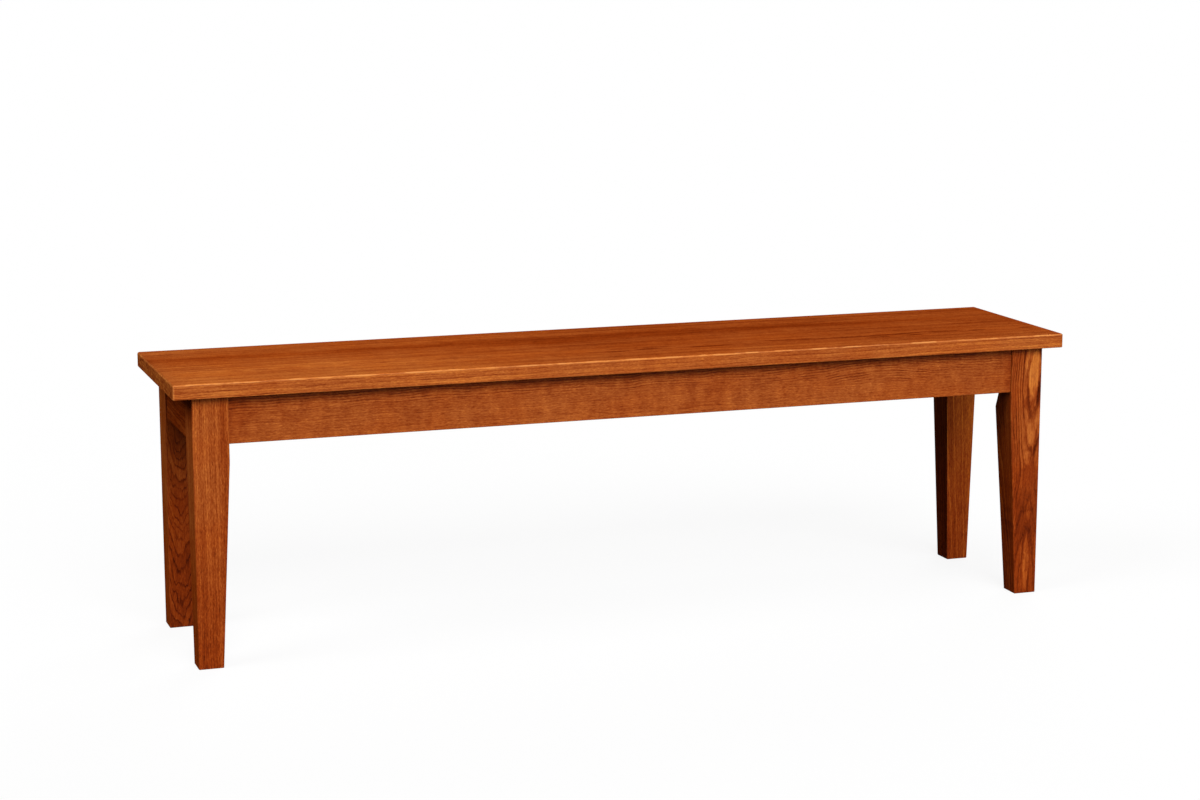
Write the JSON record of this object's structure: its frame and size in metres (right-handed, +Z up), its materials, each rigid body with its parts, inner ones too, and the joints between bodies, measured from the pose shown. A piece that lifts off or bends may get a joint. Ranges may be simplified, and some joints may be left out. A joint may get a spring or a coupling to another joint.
{
  "type": "shaker bench",
  "caption": "Long backless wooden bench with a glued-up plank seat, square legs tapered on their inner faces and a plain apron frame, for sitting at a table or in a hall.",
  "frame": {"origin": "on the floor at the middle of the bench, under the centre of the seat", "axes": "+X along the bench, to the right seen from the front, +Y from the front to the back, +Z up"},
  "size_m": [1.524, 0.3302, 0.4556],
  "materials": {
    "seat_wood": "satin lacquer over stain",
    "leg_wood": "satin lacquer over stain",
    "apron_wood": "satin lacquer over stain",
    "inner_wood": "thin stain, unpolished",
    "zinc_steel": "zinc plated"
  },
  "bodies": {
    "root": {"apron_back": "apron_wood", "apron_front": "apron_wood", "apron_left": "apron_wood", "apron_right": "apron_wood", "corner_block_back_left": "inner_wood", "corner_block_back_right": "inner_wood", "corner_block_front_left": "inner_wood", "corner_block_front_right": "inner_wood", "corner_block_screws": "zinc_steel", "cross_rail_left": "inner_wood", "cross_rail_right": "inner_wood", "cross_rail_screws": "zinc_steel", "hanger_bolt_back_left": "zinc_steel", "hanger_bolt_back_right": "zinc_steel", "hanger_bolt_front_left": "zinc_steel", "hanger_bolt_front_right": "zinc_steel", "leg_back_left": "leg_wood", "leg_back_right": "leg_wood", "leg_front_left": "leg_wood", "leg_front_right": "leg_wood", "nut_back_left": "zinc_steel", "nut_back_right": "zinc_steel", "nut_front_left": "zinc_steel", "nut_front_right": "zinc_steel", "seat_board_back": "seat_wood", "seat_board_front": "seat_wood", "seat_board_middle": "seat_wood", "seat_button_back_left": "inner_wood", "seat_button_back_middle": "inner_wood", "seat_button_back_right": "inner_wood", "seat_button_front_left": "inner_wood", "seat_button_front_middle": "inner_wood", "seat_button_front_right": "inner_wood", "seat_button_left": "inner_wood", "seat_button_right": "inner_wood", "seat_button_screws": "zinc_steel", "washer_back_left": "zinc_steel", "washer_back_right": "zinc_steel", "washer_front_left": "zinc_steel", "washer_front_right": "zinc_steel"}
  },
  "joints": []
}
